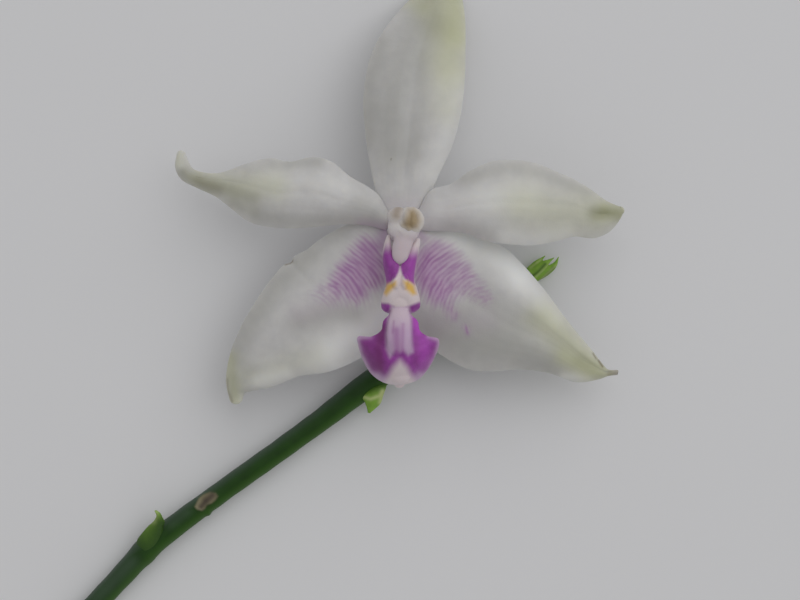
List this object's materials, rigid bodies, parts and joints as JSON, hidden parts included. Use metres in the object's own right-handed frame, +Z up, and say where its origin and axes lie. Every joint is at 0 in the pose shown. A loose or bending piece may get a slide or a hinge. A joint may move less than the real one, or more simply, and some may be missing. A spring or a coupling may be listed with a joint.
{
  "type": "orchid flower",
  "caption": "Moth orchid flower with pointed white sepals and petals, purple bars and a purple anchor-shaped lip, lying face up on its cut green stem.",
  "frame": {"origin": "on the surface it lies on, below the middle of the part's box", "axes": "+Z up out of the flower's face, +Y along the dorsal sepal towards its tip, +X towards the right petal as seen from the front"},
  "size_m": [0.058, 0.0691, 0.0133],
  "materials": {
    "petal_white": "soft waxy petal",
    "column_white": "waxy",
    "cap_tan": "waxy",
    "lip_purple": "waxy sheen",
    "stalk_green": "smooth waxy skin",
    "bract_green": "satin leaf"
  },
  "bodies": {
    "root": {"dorsal_sepal": "petal_white", "lateral_sepal_left": "petal_white", "lateral_sepal_right": "petal_white", "petal_left": "petal_white", "petal_right": "petal_white", "column": "column_white", "anther_cap": "cap_tan", "lip": "lip_purple", "pedicel": "stalk_green", "stem": "stalk_green", "sheath_bract": "bract_green", "floral_bract": "bract_green", "pedicel_bract": "bract_green", "tip_bracts": "bract_green"}
  },
  "joints": []
}
